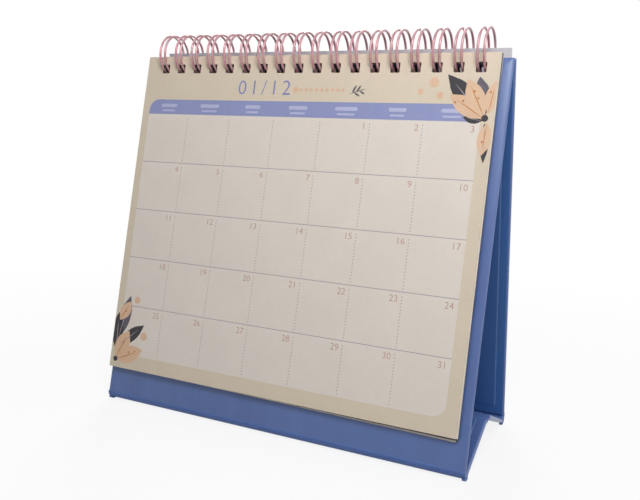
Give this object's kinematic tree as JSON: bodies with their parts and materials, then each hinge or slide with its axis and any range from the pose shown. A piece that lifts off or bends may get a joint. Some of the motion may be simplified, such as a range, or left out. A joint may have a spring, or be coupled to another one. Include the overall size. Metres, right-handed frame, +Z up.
{
  "type": "desk calendar",
  "caption": "Desk calendar: month leaves and a turned cover leaf on a twin-loop wire binding, carried by a folding easel stand of covered board.",
  "frame": {"origin": "on the table, midway between the two feet and midway along the stand", "axes": "+X along the binding to the right as the leaves are read, -Y towards the reader, +Z up"},
  "size_m": [0.166, 0.0676, 0.1653],
  "materials": {
    "cover_paper": "satin laminated paper over greyboard, periwinkle blue",
    "fold_paper": "satin laminated paper, periwinkle blue",
    "lining_paper": "smooth uncoated paper, deep blue",
    "coated_wire": "rose coated steel wire, satin",
    "leaf_paper": "uncoated printed paper, cream",
    "cover_card": "smooth card, pale grey"
  },
  "bodies": {
    "front_panel": {"front_board": "cover_paper", "front_lining": "lining_paper", "front_fold": "fold_paper", "wire_binding": "coated_wire"},
    "rear_panel": {"rear_board": "cover_paper", "rear_lining": "lining_paper", "rear_fold": "fold_paper"},
    "base_front": {"base_front_board": "cover_paper", "base_front_lining": "lining_paper", "ridge_fold": "fold_paper"},
    "base_rear": {"base_rear_board": "cover_paper", "base_rear_lining": "lining_paper"},
    "pages": {"page_pad": "leaf_paper"},
    "cover": {"cover_leaf": "cover_card"}
  },
  "joints": [
    {"name": "stand_fold", "type": "hinge", "parent": "front_panel", "child": "rear_panel", "pos_m": [0, 0, 0.15602], "axis": [-1, 0, 0], "range_deg": [-1.5, 16]},
    {"name": "base_front_fold", "type": "hinge", "parent": "front_panel", "child": "base_front", "pos_m": [0, -0.03056, 0.0036], "axis": [1, 0, 0], "range_deg": [-5.4, 57.6], "deforming": ["front_fold", "ridge_fold"]},
    {"name": "base_rear_fold", "type": "hinge", "parent": "rear_panel", "child": "base_rear", "pos_m": [0, 0.03056, 0.0036], "axis": [-1, 0, 0], "range_deg": [-5.4, 57.6], "deforming": ["rear_fold"]},
    {"name": "pages_turn", "type": "hinge", "parent": "front_panel", "child": "pages", "pos_m": [0, 0, 0.15602], "axis": [-1, 0, 0], "range_deg": [0, 150]},
    {"name": "cover_turn", "type": "hinge", "parent": "rear_panel", "child": "cover", "pos_m": [0, 0, 0.15602], "axis": [1, 0, 0], "range_deg": [0, 43]}
  ],
  "couplings": [
    {"joint": "base_front_fold", "follows": "stand_fold", "ratio": 3.6},
    {"joint": "base_rear_fold", "follows": "stand_fold", "ratio": 3.6}
  ]
}
